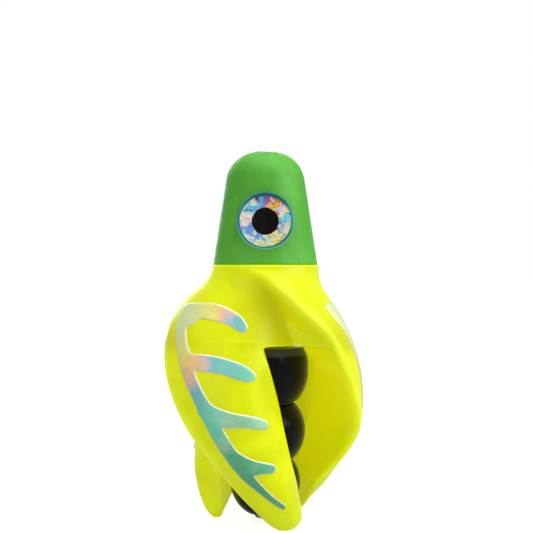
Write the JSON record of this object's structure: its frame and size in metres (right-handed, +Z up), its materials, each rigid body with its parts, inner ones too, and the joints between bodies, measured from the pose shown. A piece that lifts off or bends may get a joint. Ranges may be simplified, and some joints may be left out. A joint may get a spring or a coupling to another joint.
{
  "type": "winged spinner",
  "caption": "Free-turning spinner with a domed bird-like head and swept wings round stacked beads, threaded on a line through its spindle.",
  "frame": {"origin": "on the spin axis at the lower end of the line bore; the wing tips stand 0.3 mm below it", "axes": "+Z up the spin axis from the wing tips to the head; -Y is the side of the front eye; +X to the right seen from there"},
  "size_m": [0.0374, 0.0361, 0.07],
  "materials": {
    "head": "matte green painted moulding",
    "wings": "translucent fluorescent chartreuse moulding",
    "foil": "iridescent printed foil",
    "eye_foil": "crinkled holographic foil with a black pupil",
    "eye_dome": "clear resin",
    "beads": "gloss black",
    "bushes": "natural acetal",
    "metal": "stainless tube, collar, ferrule and washers"
  },
  "bodies": {
    "spindle": {"spindle_tube": "metal", "nose_collar": "metal", "tail_ferrule": "metal", "nose_washer": "metal", "hub_washer": "metal"},
    "rotor": {"head_shell": "head", "wing_hub": "wings", "wing_1": "wings", "wing_2": "wings", "wing_3": "wings", "foil_stripe_1": "foil", "foil_stripe_2": "foil", "foil_stripe_3": "foil", "eye_disc_front": "eye_foil", "eye_dome_front": "eye_dome", "eye_disc_back": "eye_foil", "eye_dome_back": "eye_dome", "nose_bush": "bushes", "hub_bush": "bushes"},
    "upper_bead": {"bead_upper": "beads"},
    "middle_bead": {"bead_middle": "beads"},
    "lower_bead": {"bead_lower": "beads"}
  },
  "joints": [
    {"name": "rotor_spin", "type": "hinge", "parent": "spindle", "child": "rotor", "pos_m": [0, 0, 0.0484], "axis": [0, 0, 1], "continuous": true},
    {"name": "upper_bead_spin", "type": "hinge", "parent": "spindle", "child": "upper_bead", "pos_m": [0, 0, 0.0287], "axis": [0, 0, 1], "continuous": true},
    {"name": "middle_bead_spin", "type": "hinge", "parent": "spindle", "child": "middle_bead", "pos_m": [0, 0, 0.0169], "axis": [0, 0, 1], "continuous": true},
    {"name": "lower_bead_spin", "type": "hinge", "parent": "spindle", "child": "lower_bead", "pos_m": [0, 0, 0.007], "axis": [0, 0, 1], "continuous": true}
  ]
}
